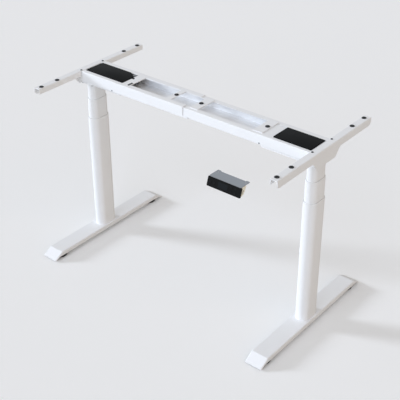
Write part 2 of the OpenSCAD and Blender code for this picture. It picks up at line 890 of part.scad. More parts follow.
// Outline of the control box, with its back corner cut off beside the sockets
function box_outline(inset) = [
    [box_x0 + inset, box_y0 + inset], [box_x1 - inset, box_y0 + inset],
    [box_x1 - inset, box_y1 - box_cut_y[1]],
    [box_x1 - box_cut_x[1] - inset / 2, box_y1 - box_cut_y[0] - inset / 2],
    [box_x1 - box_cut_x[0] - inset / 2, box_y1 - inset], [box_x0 + inset, box_y1 - inset]];

module control_box_solid() {
    half = inner_lip_edge - bar_flange_gap;
    translate([0, 0, rail_top]) linear_extrude(box_flange_t - box_lid_inset / 2)
        polygon(box_outline(0));
    translate([0, 0, rail_top]) linear_extrude(box_flange_t)
        polygon(box_outline(box_lid_inset));
    intersection() {
        translate([0, 0, rail_top - box_deep_h]) linear_extrude(box_deep_h)
            polygon(box_outline(box_lid_inset));
        union() {
            translate([box_x0, -half, rail_top - box_shallow_h])
                cube([box_len, 2 * half, box_shallow_h]);
            translate([box_x1 - box_socket_len, -half, rail_top - box_socket_h])
                cube([box_socket_len, 2 * half, box_socket_h]);
            translate([box_x1 - box_deep_in - box_deep_len, -half, rail_top - box_deep_h])
                cube([box_deep_len, half - box_deep_back, box_deep_h]);
        }
    }
}

// Two plugs with rubber boots in the sockets at the control box's end, each pushed
// up to the box's own face
module control_box_plugs_solid() {
    difference() {
        for (i = [0, 1]) translate([box_x1 - plug_size.x * 2 + plug_out[i],
            box_y1 - plug_back[i] - plug_size.y / 2, rail_top - plug_drop - plug_size.z]) {
            cube([plug_size.x * 2, plug_size.y, plug_size.z]);
            translate([plug_size.x * 2, plug_size.y / 2, plug_size.z / 2]) rotate([0, 90, 0])
                cylinder(d = plug_size.z - box_lid_inset, h = plug_boot);
        }
        control_box_solid();
    }
}

module motor_cover_solid() {
    y0 = -inner_lip_edge - bar_lap;
    d = deck_back - y0;
    translate([cover_x0, y0, inner_rail_top]) difference() {
        union() {
            linear_extrude(cover_h - cover_step) round_rect([cover_len, d], cover_r);
            translate([cover_step, cover_step, 0]) linear_extrude(cover_h)
                round_rect([cover_len - 2 * cover_step, d - 2 * cover_step], cover_r);
        }
        translate([cover_wall, cover_wall, -over])
            cube([cover_len - 2 * cover_wall, d - 2 * cover_wall, cover_h + over - cover_wall]);
    }
}

module deck_plate_solid() {
    half = inner_lip_edge - deck_gap;
    x0 = column_x - deck_in;
    translate([x0, -half, inner_rail_top - channel_t])
        cube([bracket_face - bracket_w - x0, half + deck_back, channel_t]);
}

// Puts children in the handset panel's own plane: x across, z up the slope from
// its top edge, -y out of the face
module on_panel() {
    translate([handset_x, beam_y - hanger_front, hanger_z]) rotate([-panel_lean, 0, 0])
        children();
}

// Place on the panel's face from shares of its width and of its height down
module at_shares(shares) {
    translate([(shares[0] - 1 / 2) * panel_w, 0, -shares[1] * panel_h]) rotate([90, 0, 0])
        children();
}

// Side outline of the handset's case, in depth and height: its front lies on the
// panel's back, and its top under the hanger
module case_outline() {
    front = panel_t / cos(panel_lean) - hanger_front;
    low = case_h - panel_t * sin(panel_lean);
    translate([front, hanger_z]) polygon(concat([[0, 0], [-low * tan(panel_lean), -low]],
        [for (p = case_shares) [p.x * case_d, -p.y * case_h]]));
}

module handset_case_solid() {
    difference() {
        translate([handset_x, beam_y, 0]) along_beam(-case_w / 2, case_w / 2) case_outline();
        translate([handset_x + case_w / 2 - port_depth, beam_y - hanger_front + port_back,
            hanger_z - port_drop]) rotate([-2 * panel_lean, 0, 0])
            translate([0, -port_w / 2, -port_len / 2]) cube([port_depth + over, port_w, port_len]);
    }
}

module handset_hanger_solid() {
    translate([handset_x, beam_y, hanger_z]) difference() {
        translate([-hanger_w / 2, -hanger_front, 0]) linear_extrude(hanger_t)
            round_rect([hanger_w, hanger_d], panel_r);
        translate([hanger_ear - hanger_w / 2, hanger_d - hanger_notch - hanger_front, -over])
            cube([hanger_w - 2 * hanger_ear, hanger_notch + over, hanger_t + 2 * over]);
        for (s = [-1, 1]) translate([s * hanger_screw_pitch / 2,
            hanger_d - hanger_screw_y - hanger_front, -over])
            cylinder(d = hanger_screw_d, h = hanger_t + 2 * over);
    }
}

module handset_panel_solid() {
    on_panel() difference() {
        translate([-panel_w / 2, 0, -panel_h]) rotate([90, 0, 0]) mirror([0, 0, 1])
            linear_extrude(panel_t) round_rect([panel_w, panel_h], panel_r);
        at_shares(up_shares) button_hole(round_button_d);
        at_shares(down_shares) button_hole(round_button_d);
        for (p = memory_shares) at_shares(p) button_hole(memory_button_d);
        translate([(window_share - 1 / 2) * panel_w - window_w / 2, -over,
            -(panel_h + window_h) / 2]) cube([window_w, window_t + over, window_h]);
    }
}

module button_hole(d) {
    translate([0, 0, -panel_t - over])
        cylinder(d = d + 2 * button_gap, h = panel_t + 2 * over);
}

module display_window_solid() {
    on_panel() translate([(window_share - 1 / 2) * panel_w - window_w / 2 + seat_fit, 0,
        -(panel_h + window_h) / 2 + seat_fit])
        cube([window_w - 2 * seat_fit, window_t, window_h - 2 * seat_fit]);
}

// Push button: a straight cap that stands proud of the panel
module button(shares, d) {
    on_panel() at_shares(shares) translate([0, 0, button_rise - button_len]) {
        cylinder(d = d, h = button_len - button_rise / 3);
        cylinder(d = d - button_rise, h = button_len);
    }
}

module foot_left() color("whitesmoke") at_column(-1) foot();
module foot_right() color("whitesmoke") at_column(1) foot();
module foot_bolts_left() color("dimgray") at_column(-1) foot_bolts();
module foot_bolts_right() color("dimgray") at_column(1) foot_bolts();
module levelling_foot_left_front() color("black") at_column(-1) levelling_foot(-1);
module levelling_foot_left_back() color("black") at_column(-1) levelling_foot(1);
module levelling_foot_right_front() color("black") at_column(1) levelling_foot(-1);
module levelling_foot_right_back() color("black") at_column(1) levelling_foot(1);
module outer_tube_left() color("white") at_column(-1) outer_tube();
module outer_tube_right() color("white") at_column(1) outer_tube();
module base_post_left() color("silver") at_column(-1) base_post();
module base_post_right() color("silver") at_column(1) base_post();
module lower_nut_left() color("goldenrod") at_column(-1) lower_nut();
module lower_nut_right() color("goldenrod") at_column(1) lower_nut();
module outer_glide_left() color("gray") at_column(-1) outer_glide();
module outer_glide_right() color("gray") at_column(1) outer_glide();
module middle_tube_left() color("white") at_column(-1) middle_tube();
module middle_tube_right() color("white") at_column(1) middle_tube();
module middle_post_left() color("silver") at_column(-1) middle_post();
module middle_post_right() color("silver") at_column(1) middle_post();
module upper_nut_left() color("goldenrod") at_column(-1) upper_nut();
module upper_nut_right() color("goldenrod") at_column(1) upper_nut();
module middle_glides_left() color("gray") at_column(-1) middle_glides();
module middle_glides_right() color("gray") at_column(1) middle_glides();
module inner_tube_left() color("white") at_column(-1) inner_tube();
module inner_tube_right() color("white") at_column(1) inner_tube();
module inner_glide_left() color("gray") at_column(-1) inner_glide();
module inner_glide_right() color("gray") at_column(1) inner_glide();
module lower_spindle_left() color("lightgray") at_column(-1) lower_spindle();
module lower_spindle_right() color("lightgray") at_column(1) lower_spindle();
module upper_spindle_left() color("lightgray") at_column(-1) upper_spindle();
module upper_spindle_right() color("lightgray") at_column(1) upper_spindle();
module drive_pan_left() color("white") at_column(-1) drive_pan(outer_floor);
module drive_pan_right() color("white") at_column(1) drive_pan(inner_floor);
module gear_motor_left() color("darkgray") at_column(-1) gear_motor();
module gear_motor_right() color("darkgray") at_column(1) gear_motor();
module side_bracket_left() color("white") at_column(-1) side_bracket();
module side_bracket_right() color("white") at_column(1) side_bracket();
module frame_screws_left() color("black") frame_screws_left_all();
module frame_screws_right() color("black") frame_screws_right_all();
module rubber_pads_left() color("black") rubber_pads_left_all();
module rubber_pads_right() color("black") rubber_pads_right_all();
module outer_channel() color("white") at_beam() outer_channel_solid();
module inner_channel() color("white") at_beam() inner_channel_solid();
module cross_bars_left() color("white") at_beam() left_bars();
module cross_bars_right() color("white") at_beam() right_bars();
module control_box() color("black") at_beam() control_box_solid();
module control_box_plugs() color("black") at_beam() control_box_plugs_solid();
module motor_cover() color("black") at_beam() motor_cover_solid();
module deck_plate() color("white") at_beam() deck_plate_solid();
module handset_case() color("ivory") handset_case_solid();
module handset_hanger() color("gray") handset_hanger_solid();
module handset_panel() color("black") handset_panel_solid();
module display_window() color("darkslategray") display_window_solid();
module up_button() color("black") button(up_shares, round_button_d);
module down_button() color("black") button(down_shares, round_button_d);
module memory_button_1() color("black") button(memory_shares[0], memory_button_d);
module memory_button_2() color("black") button(memory_shares[1], memory_button_d);
module memory_button_3() color("black") button(memory_shares[2], memory_button_d);
module memory_button_m() color("black") button(memory_shares[3], memory_button_d);

foot_left();
foot_right();
foot_bolts_left();
foot_bolts_right();
levelling_foot_left_front();
levelling_foot_left_back();
levelling_foot_right_front();
levelling_foot_right_back();
outer_tube_left();
outer_tube_right();
base_post_left();
base_post_right();
lower_nut_left();
lower_nut_right();
outer_glide_left();
outer_glide_right();
middle_tube_left();
middle_tube_right();
middle_post_left();
middle_post_right();
upper_nut_left();
upper_nut_right();
middle_glides_left();
middle_glides_right();
inner_tube_left();
inner_tube_right();
inner_glide_left();
inner_glide_right();
lower_spindle_left();
lower_spindle_right();
upper_spindle_left();
upper_spindle_right();
drive_pan_left();
drive_pan_right();
gear_motor_left();
gear_motor_right();
side_bracket_left();
side_bracket_right();
frame_screws_left();
frame_screws_right();
rubber_pads_left();
rubber_pads_right();
outer_channel();
inner_channel();
cross_bars_left();
cross_bars_right();
control_box();
control_box_plugs();
motor_cover();
deck_plate();
handset_case();
handset_hanger();
handset_panel();
display_window();
up_button();
down_button();
memory_button_1();
memory_button_2();
memory_button_3();
memory_button_m();
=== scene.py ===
"""Height-adjustable desk frame: its finishes, rounded covers, legends and studio."""
import math

import bmesh
import bpy
from bpy.props import FloatProperty, FloatVectorProperty, PointerProperty
from mathutils import Matrix, Vector


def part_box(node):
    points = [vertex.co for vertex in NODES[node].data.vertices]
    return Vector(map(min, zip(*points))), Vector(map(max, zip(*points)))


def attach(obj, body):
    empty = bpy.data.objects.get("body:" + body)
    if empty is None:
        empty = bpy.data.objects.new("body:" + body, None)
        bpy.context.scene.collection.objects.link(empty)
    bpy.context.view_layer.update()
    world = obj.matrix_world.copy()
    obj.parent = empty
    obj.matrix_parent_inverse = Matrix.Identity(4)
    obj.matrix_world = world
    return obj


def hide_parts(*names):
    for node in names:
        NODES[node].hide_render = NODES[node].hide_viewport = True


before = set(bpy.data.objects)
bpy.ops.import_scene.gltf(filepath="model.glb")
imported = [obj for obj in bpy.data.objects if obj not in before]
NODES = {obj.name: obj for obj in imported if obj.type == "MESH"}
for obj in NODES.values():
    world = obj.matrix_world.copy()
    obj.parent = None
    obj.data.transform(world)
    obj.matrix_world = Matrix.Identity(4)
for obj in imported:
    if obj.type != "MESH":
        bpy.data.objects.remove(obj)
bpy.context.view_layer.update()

bl_info = {
    "name": "Desk Frame Finish",
    "version": (1, 0, 0),
    "blender": (4, 5, 0),
    "location": "3D View > Sidebar > Desk Frame",
    "description": "Finishes and small visible parts of a height-adjustable desk frame",
    "category": "Object",
}

SIDES = ("left", "right")
MM = 0.001

# Levels that part the two colours of one piece: a height, and a place along the depth
BLACK_SCREWS_ABOVE = 770 * MM
GREY_PLUG_BEHIND = 58 * MM

# Handset face: its box is the model's own; its lean and height, and how far the buttons
# rise from it, are the values that the model was made with
PANEL_LOW, PANEL_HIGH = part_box("handset_panel")
PANEL_LEAN = math.radians(18.6)
PANEL_W = PANEL_HIGH.x - PANEL_LOW.x
PANEL_H = 34 * MM
BUTTON_RISE = 0.9 * MM

# Middles on the panel's face, as shares of its width across and of its height down
BUTTONS = {"up_button": (0.085, 0.5), "down_button": (0.205, 0.5),
           "memory_button_1": (0.70, 0.27), "memory_button_2": (0.83, 0.27),
           "memory_button_3": (0.70, 0.73), "memory_button_m": (0.83, 0.73)}
ARROW_BUTTONS = ("up_button", "down_button")
DISPLAY_MIDDLE = (0.46, 0.5)

# Legends: arrows and letters on the buttons, rings round the arrows, and the number shown
ARROW_SIZE = 4.6 * MM
LETTER_HEIGHT = 3.4 * MM
RING_OUTER = 7.4 * MM
RING_INNER = 6.7 * MM
NUMBER_SHOWN = "786"
DIGIT_HEIGHT = 9 * MM
DIGIT_PITCH = 8 * MM
# A bar's length as a share of half a digit's height, and its width as a share of the whole
BAR_LENGTH = 0.78
BAR_WIDTH = 0.11
# A capital's height in the built-in font, as a share of the font's size
CAPITAL_SHARE = 0.7
# Bars of a digit: place across and up, in halves of its height, and whether it is upright
BARS = {"a": (0, 1, False), "b": (0.5, 0.5, True), "c": (0.5, -0.5, True),
        "d": (0, -1, False), "e": (-0.5, -0.5, True), "f": (-0.5, 0.5, True),
        "g": (0, 0, False)}
LIT_BARS = {"7": "abc", "8": "abcdefg", "6": "acdefg"}

# Insert of the slanted port: its size, and its middle's distance from the case's high corner
PORT_SIZE = Vector((8, 3, 13.6)) * MM
PORT_INSET = Vector((5, 17.4, 18.6)) * MM

# Studio, in metres; each sun has its direction, its spread in degrees and its colour.
# The key comes in low from the left, and the broad ones fill the front and the right
FLOOR_RADIUS = 60
CAMERA_PLACE = Vector((1.9656, -2.3521, 2.2470))
CAMERA_AIM = Vector((0.0133, 0.0372, 0.3513))
CAMERA_ROLL = math.radians(-0.19)
SUNS = {"key": ((0.90, 0.42, -0.28), 12, "#ECF4FF"),
        "front": ((-0.10, 0.88, -0.46), 50, "#DCEBFF"),
        "right": ((-0.93, 0.16, -0.34), 70, "#FFD9AE")}


# Settings

def linear(hex_colour):
    """Linear red, green and blue of an sRGB hex colour."""
    parts = [int(hex_colour[i:i + 2], 16) / 255 for i in (1, 3, 5)]
    return tuple(p / 12.92 if p <= 0.04045 else ((p + 0.055) / 1.055) ** 2.4 for p in parts)


def colour_prop(name, hex_colour, description):
    return FloatVectorProperty(name=name, description=description, subtype="COLOR",
                               size=3, min=0, max=1, default=linear(hex_colour))


def length_prop(name, millimetres, description):
    return FloatProperty(name=name, description=description, default=millimetres * MM,
                         min=0, subtype="DISTANCE", unit="LENGTH", precision=5)


def share_prop(name, share, description, most=4):
    return FloatProperty(name=name, description=description, default=share,
                         min=0, max=most, subtype="FACTOR")


class CoatSettings(bpy.types.PropertyGroup):
    white: colour_prop("White coat", "#F4F5F7", "Colour of the powder coat on all sheet and tube")
    white_shade: colour_prop("White coat, thin", "#F0F1F3", "Colour where the coat is thinner")
    peel: length_prop("Orange peel", 2.4, "Width of the ripples in the powder coat")
    cloud: length_prop("Coat patches", 70, "Width of the patches of thinner coat")


class CoverSettings(bpy.types.PropertyGroup):
    black: colour_prop("Black covers", "#0A0B0C", "Colour of the control box and motor cover")
    rim_round: length_prop("Cover edge radius", 0.9, "Rounding of the covers' edges")
    grain: length_prop("Cover grain", 1.3, "Width of the moulded grain on the covers")


class HandsetSettings(bpy.types.PropertyGroup):
    case: colour_prop("Handset case", "#FAF6E6", "Colour of the pale case behind the panel")
    panel: colour_prop("Handset panel", "#0B0C0D", "Colour of the polished front panel")
    ink: colour_prop("Legends", "#B9BCC0", "Colour of the printed arrows, numbers and rings")
    case_round: length_prop("Case edge radius", 0.8, "Rounding of the case's edges")
    ink_thickness: length_prop("Legend thickness", 0.06, "How far the ink stands proud")


class StudioSettings(bpy.types.PropertyGroup):
    floor: colour_prop("Floor", "#FFFFFF", "Colour of the studio floor")
    backdrop: colour_prop("Backdrop", "#F0F4F9", "Colour beyond the floor")
    focal_length: FloatProperty(name="Focal length", description="Lens of the camera",
                                default=80.58, min=20, max=300, subtype="DISTANCE_CAMERA",
                                unit="CAMERA")
    key_strength: share_prop("Key light", 0.68, "Share of white from the key light")
    front_strength: share_prop("Front light", 0.37, "Share of white from the light in front")
    right_strength: share_prop("Right light", 0.14, "Share of white from the warm right side")
    sky_strength: share_prop("Room light", 0.43, "Share of white from the room")
    floor_glow: share_prop("Floor glow", 0.05,
                           "Share of the floor's seen colour that no shadow takes", most=1)


def settings(part):
    return getattr(bpy.context.scene, "desk_frame_" + part)


# Node trees

def find(tree, kind):
    """The node of that kind that a new tree comes with."""
    return next(node for node in tree.nodes if node.type == kind)


def add(tree, kind, inputs=None, **options):
    """Adds a node; its inputs are given as values or as outputs to link from."""
    made = tree.nodes.new(kind)
    for name, value in options.items():
        setattr(made, name, value)
    for socket, value in (inputs or {}).items():
        if isinstance(value, bpy.types.NodeSocket):
            tree.links.new(value, made.inputs[socket])
        else:
            made.inputs[socket].default_value = value
    return made


def rgba(colour):
    return (*colour, 1.0)


def per(width):
    """Scale of a noise or cell texture whose features are that wide, in metres."""
    return 1 / width


def new_material(name, **sockets):
    """A material with its tree, its one shader and the output of its object coordinates."""
    material = bpy.data.materials.new(name)
    material.use_nodes = True
    tree = material.node_tree
    shader = find(tree, "BSDF_PRINCIPLED")
    for socket, value in sockets.items():
        shader.inputs[socket.replace("_", " ")].default_value = value
    place = add(tree, "ShaderNodeTexCoord").outputs["Object"]
    return material, tree, shader, place


def vary_colour(tree, shader, place, first, second, width):
    """Blends two close colours in soft patches of that width, and returns the patches."""
    patches = add(tree, "ShaderNodeTexNoise", {"Vector": place, "Scale": per(width), "Detail": 3.0})
    blend = add(tree, "ShaderNodeMix", {0: patches.outputs["Fac"], 6: rgba(first),
                                        7: rgba(second)}, data_type="RGBA")
    tree.links.new(blend.outputs[2], shader.inputs["Base Color"])
    return patches.outputs["Fac"]


def vary_roughness(tree, shader, value, at_low, at_high):
    """Roughness that follows a pattern, from its low places to its high ones."""
    spread = add(tree, "ShaderNodeMapRange", {"Value": value, "To Min": at_low,
                                              "To Max": at_high})
    tree.links.new(spread.outputs["Result"], shader.inputs["Roughness"])


def raise_grain(tree, shader, height, depth, strength):
    """Bumps the surface by a height pattern of that depth, in metres."""
    bump = add(tree, "ShaderNodeBump", {"Height": height, "Strength": strength,
                                        "Distance": depth})
    tree.links.new(bump.outputs["Normal"], shader.inputs["Normal"])


# Materials

def powder_coat(name, colour, thin, peel, cloud):
    """Polyester powder coat baked on steel: satin, even, with fine orange peel."""
    material, tree, shader, place = new_material(name, IOR=1.5, Specular_IOR_Level=0.3)
    patches = vary_colour(tree, shader, place, colour, thin, width=cloud)
    vary_roughness(tree, shader, patches, at_low=0.50, at_high=0.60)
    # Real peel is about 1 mm wide; it is drawn wider so that it shows
    ripples = add(tree, "ShaderNodeTexNoise", {"Vector": place, "Scale": per(peel), "Detail": 1.0})
    raise_grain(tree, shader, ripples.outputs["Fac"], depth=0.012 * MM, strength=0.5)
    return material


def moulded_plastic(name, colour, light, grain, roughness, depth=0.05 * MM, gloss=0.5):
    """Injection-moulded plastic with a spark-eroded grain: dull, slightly scattered sheen."""
    material, tree, shader, place = new_material(name, IOR=1.5, Specular_IOR_Level=gloss)
    patches = vary_colour(tree, shader, place, colour, light, width=35 * MM)
    vary_roughness(tree, shader, patches, roughness - 0.06, roughness + 0.06)
    cells = add(tree, "ShaderNodeTexVoronoi", {"Vector": place, "Scale": per(grain)})
    raise_grain(tree, shader, cells.outputs["Distance"], depth, strength=0.6)
    return material


def polished_plastic(name, colour, light, roughness=0.12):
    """Polished acrylic or ABS: deep gloss, with faint wiping marks in its sheen."""
    material, tree, shader, place = new_material(name, IOR=1.49, Specular_IOR_Level=0.15)
    patches = vary_colour(tree, shader, place, colour, light, width=18 * MM)
    vary_roughness(tree, shader, patches, roughness - 0.05, roughness + 0.10)
    return material


def worked_metal(name, colour, light, roughness=0.38):
    """Plated steel, die-cast alloy or turned bronze: soft metal sheen, fine cloudy spangle."""
    material, tree, shader, place = new_material(name, Metallic=1.0)
    patches = vary_colour(tree, shader, place, colour, light, width=6 * MM)
    vary_roughness(tree, shader, patches, roughness - 0.08, roughness + 0.10)
    scratches = add(tree, "ShaderNodeTexNoise", {"Vector": place, "Scale": per(1.2 * MM),
                                                 "Detail": 2.0})
    raise_grain(tree, shader, scratches.outputs["Fac"], depth=0.02 * MM, strength=0.4)
    return material


def threaded_steel(name, colour, light, pitch):
    """Rolled-thread spindle steel: painted highlight on the crests and painted shade in the
    grooves, drawn coarse.
    """
    material, tree, shader, place = new_material(name, Metallic=1.0)
    # A wave texture of scale 1 has a band each 2 pi / 20 m, so these come 2 pi pitches apart
    turns = add(tree, "ShaderNodeTexWave", {"Vector": place, "Scale": per(pitch) / 20,
                                            "Distortion": 0.0}, bands_direction="Z")
    # Painted highlight and shade: the colour is lighter on the thread's crests and darker in its
    # grooves
    blend = add(tree, "ShaderNodeMix", {0: turns.outputs["Fac"], 6: rgba(colour),
                                        7: rgba(light)}, data_type="RGBA")
    tree.links.new(blend.outputs[2], shader.inputs["Base Color"])
    vary_roughness(tree, shader, turns.outputs["Fac"], at_low=0.45, at_high=0.22)
    raise_grain(tree, shader, turns.outputs["Fac"], depth=0.8 * MM, strength=0.8)
    return material


def rubber(name, colour, dusty):
    """Black pad rubber: matte, with a little dust in its fine grain."""
    material, tree, shader, place = new_material(name, IOR=1.52)
    patches = vary_colour(tree, shader, place, colour, dusty, width=5 * MM)
    vary_roughness(tree, shader, patches, at_low=0.66, at_high=0.85)
    grain = add(tree, "ShaderNodeTexNoise", {"Vector": place, "Scale": per(0.8 * MM),
                                             "Detail": 2.0})
    raise_grain(tree, shader, grain.outputs["Fac"], depth=0.08 * MM, strength=0.6)
    return material


def split_colour(material, axis, level, beyond):
    """Gives a material another colour beyond a level along an axis of the frame."""
    tree = material.node_tree
    socket = find(tree, "BSDF_PRINCIPLED").inputs["Base Color"]
    place = add(tree, "ShaderNodeTexCoord").outputs["Object"]
    along = add(tree, "ShaderNodeSeparateXYZ", {"Vector": place}).outputs[axis]
    past = add(tree, "ShaderNodeMath", {0: along, 1: level}, operation="GREATER_THAN")
    blend = add(tree, "ShaderNodeMix", {0: past.outputs[0], 6: socket.links[0].from_socket,
                                        7: rgba(beyond)}, data_type="RGBA")
    tree.links.new(blend.outputs[2], socket)


def dress(name, material):
    """Gives a piece of the model one material all over."""
    for slot in NODES[name].material_slots:
        slot.material = material


def both_sides(*stems):
    return [f"{stem}_{side}" for stem in stems for side in SIDES]


# Meshes

def place_object(name, data):
    """A new object at the origin of the scene."""
    made = bpy.data.objects.new(name, data)
    bpy.context.scene.collection.objects.link(made)
    return made


def to_mesh(name, bm):
    """Turns a finished bmesh into a mesh, and frees it."""
    mesh = bpy.data.meshes.new(name)
    bm.to_mesh(mesh)
    bm.free()
    return mesh


def new_piece(name, bm, body, material, sharp_angle=40):
    """Makes a piece of the finished bmesh, smooth but for its sharp edges."""
    bmesh.ops.recalc_face_normals(bm, faces=bm.faces)
    for face in bm.faces:
        face.smooth = True
    for edge in bm.edges:
        edge.smooth = edge.calc_face_angle(0) < math.radians(sharp_angle)
    piece = place_object(name, to_mesh(name, bm))
    piece.data.materials.append(material)
    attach(piece, body)
    return piece


def merged_copy(node):
    """A bmesh of a model piece with its loose triangles joined to flat faces."""
    bm = bmesh.new()
    bm.from_mesh(NODES[node].data)
    bmesh.ops.remove_doubles(bm, verts=bm.verts, dist=0.002 * MM)
    bmesh.ops.dissolve_limit(bm, angle_limit=math.radians(0.5), verts=bm.verts, edges=bm.edges)
    return bm


def round_edges(bm, radius, segments=3, sharper_than=30):
    """Rounds every outward edge that is sharper than an angle, in degrees."""
    edges = [e for e in bm.edges
             if e.is_manifold and e.calc_face_angle(0) > math.radians(sharper_than)]
    bmesh.ops.bevel(bm, geom=edges, offset=radius, offset_type="OFFSET", segments=segments,
                    profile=0.5, affect="EDGES", clamp_overlap=True, material=-1)


def rounded(node, radius, body, material):
    """Replaces a piece of the model by its copy with rounded edges."""
    bm = merged_copy(node)
    round_edges(bm, radius)
    piece = new_piece(node + "_rounded", bm, body, material)
    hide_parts(node)


def on_panel(across, down, lift):
    """Place on the panel's face from shares of its width and of its height down."""
    top = Matrix.Translation(((PANEL_LOW.x + PANEL_HIGH.x) / 2,
                              PANEL_LOW.y + PANEL_H * math.sin(PANEL_LEAN),
                              PANEL_LOW.z + PANEL_H * math.cos(PANEL_LEAN)))
    lean = Matrix.Rotation(-PANEL_LEAN, 4, "X")
    spot = Matrix.Translation(((across - 0.5) * PANEL_W, -lift, -down * PANEL_H))
    return top @ lean @ spot @ Matrix.Rotation(math.pi / 2, 4, "X")


def print_legend(name, bm, place, body, ink):
    """Lays a legend, drawn round the origin, at a place on the panel or on a button."""
    bmesh.ops.transform(bm, verts=bm.verts, matrix=place)
    new_piece(name, bm, body, ink)


def flat_shape(bm, thickness):
    """Thickens flat faces upwards into a closed raised shape."""
    made = bmesh.ops.extrude_face_region(bm, geom=bm.faces[:])
    lifted = [v for v in made["geom"] if isinstance(v, bmesh.types.BMVert)]
    bmesh.ops.translate(bm, verts=lifted, vec=(0, 0, thickness))


def ring(outer, inner, thickness):
    """A flat printed ring round the origin."""
    bm = bmesh.new()
    for radius in (outer, inner):
        bmesh.ops.create_circle(bm, segments=48, radius=radius)
    bmesh.ops.bridge_loops(bm, edges=bm.edges[:])
    flat_shape(bm, thickness)
    return bm


def arrow(size, thickness, turned):
    """A triangle that points up the panel, or down it when turned."""
    bm = bmesh.new()
    bmesh.ops.create_circle(bm, cap_ends=True, segments=3, radius=size / 2,
                            matrix=Matrix.Rotation(math.pi if turned else 0, 4, "Z"))
    flat_shape(bm, thickness)
    return bm


def letter(sign, height, thickness):
    """A sign of the built-in font, centred on the origin and made a mesh."""
    curve = bpy.data.curves.new("sign", "FONT")
    curve.body = sign
    curve.size = height / CAPITAL_SHARE
    curve.align_x = "CENTER"
    curve.align_y = "CENTER"
    drawn = place_object("sign", curve)
    flat = bpy.data.meshes.new_from_object(drawn.evaluated_get(
        bpy.context.evaluated_depsgraph_get()))
    bpy.data.objects.remove(drawn)
    bm = bmesh.new()
    bm.from_mesh(flat)
    bpy.data.meshes.remove(flat)
    bmesh.ops.remove_doubles(bm, verts=bm.verts, dist=0.001 * MM)
    flat_shape(bm, thickness)
    return bm


def display_number(number, height, pitch, thickness):
    """Lit bars of a short number, centred on the origin; a digit is half as wide as high."""
    bm = bmesh.new()
    half = height / 2
    length, width = half * BAR_LENGTH, height * BAR_WIDTH
    for place, digit in enumerate(number):
        shift = (place - (len(number) - 1) / 2) * pitch
        for name in LIT_BARS[digit]:
            across, up, upright = BARS[name]
            size = (width, length, 1) if upright else (length, width, 1)
            at = Matrix.Translation((shift + across * half, up * half, 0))
            bmesh.ops.create_grid(bm, x_segments=1, y_segments=1, size=0.5,
                                  matrix=at @ Matrix.Diagonal((*size, 1)))
    flat_shape(bm, thickness)
    return bm


# Operators

class Make:
    """What all the operators here share."""
    bl_options = {"REGISTER", "UNDO"}


class DESKFRAME_OT_coat(Make, bpy.types.Operator):
    """White powder coat on the feet, tubes, channels, brackets, bars, pans and deck plate"""
    bl_idname = "desk_frame.coat"
    bl_label = "Powder Coat"

    def execute(self, context):
        s = settings("coat")
        white = powder_coat("white_powder_coat", s.white, s.white_shade, s.peel, s.cloud)
        for name in (*both_sides("foot", "outer_tube", "middle_tube", "inner_tube", "drive_pan",
                                 "side_bracket", "cross_bars"),
                     "outer_channel", "inner_channel", "deck_plate"):
            dress(name, white)
        return {"FINISHED"}


class DESKFRAME_OT_drive(Make, bpy.types.Operator):
    """Motors, spindles, nuts, posts, glides and foot bolts"""
    bl_idname = "desk_frame.drive"
    bl_label = "Drive Parts"

    def execute(self, context):
        steel = worked_metal("zinc_plated_steel", linear("#9A9EA3"), linear("#AEB2B6"))
        alloy = worked_metal("die_cast_alloy", linear("#7F8388"), linear("#94989C"),
                             roughness=0.5)
        bronze = worked_metal("turned_bronze", linear("#B08A4C"), linear("#C39C5C"),
                              roughness=0.34)
        # The thread's two colours: painted shade in the grooves, painted highlight on the crests
        thread = threaded_steel("rolled_thread_steel", linear("#85878A"), linear("#C9CBCD"),
                                pitch=4 * MM)
        nylon = moulded_plastic("glide_nylon", linear("#C9CAC6"), linear("#D3D4D0"),
                                grain=1.6 * MM, roughness=0.5)
        finishes = {"base_post": steel, "middle_post": steel, "foot_bolts": steel,
                    "gear_motor": alloy, "lower_nut": bronze, "upper_nut": bronze,
                    "lower_spindle": thread, "upper_spindle": thread,
                    "outer_glide": nylon, "middle_glides": nylon, "inner_glide": nylon}
        for stem, finish in finishes.items():
            for name in both_sides(stem):
                dress(name, finish)
        return {"FINISHED"}


class DESKFRAME_OT_fixings(Make, bpy.types.Operator):
    """Screws, rubber pads and levelling feet"""
    bl_idname = "desk_frame.fixings"
    bl_label = "Fixings"

    def execute(self, context):
        screw = worked_metal("zinc_and_black_oxide_screw", linear("#A4A8AC"), linear("#B4B8BC"),
                             roughness=0.45)
        # Only the screws in the brackets' tops, the highest ones, are black
        split_colour(screw, "Z", BLACK_SCREWS_ABOVE, linear("#3A3D41"))
        pad = rubber("pad_rubber", linear("#0B0C0D"), linear("#131415"))
        foot = moulded_plastic("levelling_foot_plastic", linear("#0C0D0E"), linear("#121314"),
                               grain=1.5 * MM, roughness=0.55, gloss=0.3)
        for side in SIDES:
            dress(f"frame_screws_{side}", screw)
            dress(f"rubber_pads_{side}", pad)
            for end in ("front", "back"):
                dress(f"levelling_foot_{side}_{end}", foot)
        return {"FINISHED"}


class DESKFRAME_OT_covers(Make, bpy.types.Operator):
    """Control box and motor cover with rounded edges, and the box's plugs"""
    bl_idname = "desk_frame.covers"
    bl_label = "Drive Covers"

    def execute(self, context):
        s = settings("cover")
        black = moulded_plastic("black_cover_moulding", s.black, linear("#0E0F10"), s.grain,
                                roughness=0.5, gloss=0.05)
        plug = moulded_plastic("plug_moulding", linear("#161719"), linear("#1E1F21"),
                               grain=1.2 * MM, roughness=0.5, gloss=0.3)
        # The back one of the two plugs is grey
        split_colour(plug, "Y", GREY_PLUG_BEHIND, linear("#8E9196"))
        for node, body in (("control_box", "top_left"), ("motor_cover", "top_right")):
            rounded(node, s.rim_round, body, black)
        dress("control_box_plugs", plug)
        return {"FINISHED"}


